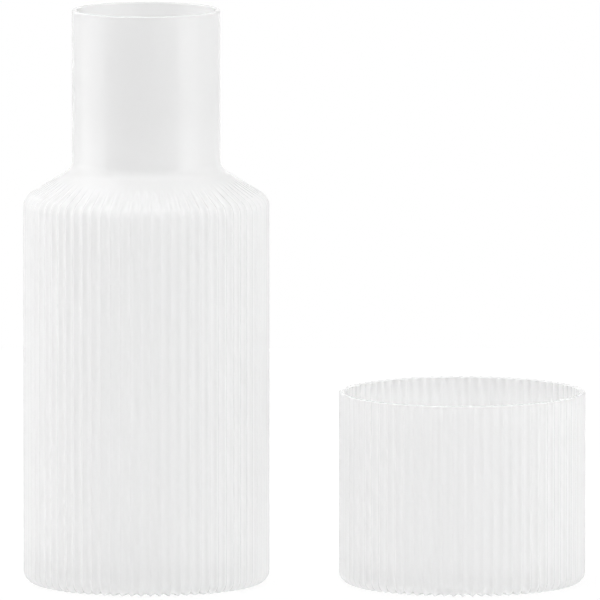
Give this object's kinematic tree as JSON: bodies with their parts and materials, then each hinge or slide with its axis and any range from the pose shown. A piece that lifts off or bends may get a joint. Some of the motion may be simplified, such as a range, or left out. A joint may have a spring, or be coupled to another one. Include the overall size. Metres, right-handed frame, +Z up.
{
  "type": "bedside carafe with tumbler",
  "caption": "Ribbed frosted glass bedside carafe with a smooth neck and sloping shoulder, and a matching ribbed tumbler standing beside it.",
  "frame": {"origin": "centre of the carafe's base, on the surface that both pieces stand on", "axes": "+Z up along the carafe's axis and out of its mouth; +X from the carafe to the tumbler; -Y towards the viewer"},
  "size_m": [0.178, 0.078, 0.1823],
  "materials": {
    "carafe_glass": "frosted, white translucent satin glass",
    "tumbler_glass": "frosted, white translucent satin glass"
  },
  "bodies": {
    "carafe": {"carafe": "carafe_glass"},
    "tumbler": {"tumbler": "tumbler_glass"}
  },
  "joints": [
    {"name": "tumbler_lift", "type": "slide", "parent": "carafe", "child": "tumbler", "axis": [0, 0, 1], "range_m": [0, 0.19]}
  ]
}
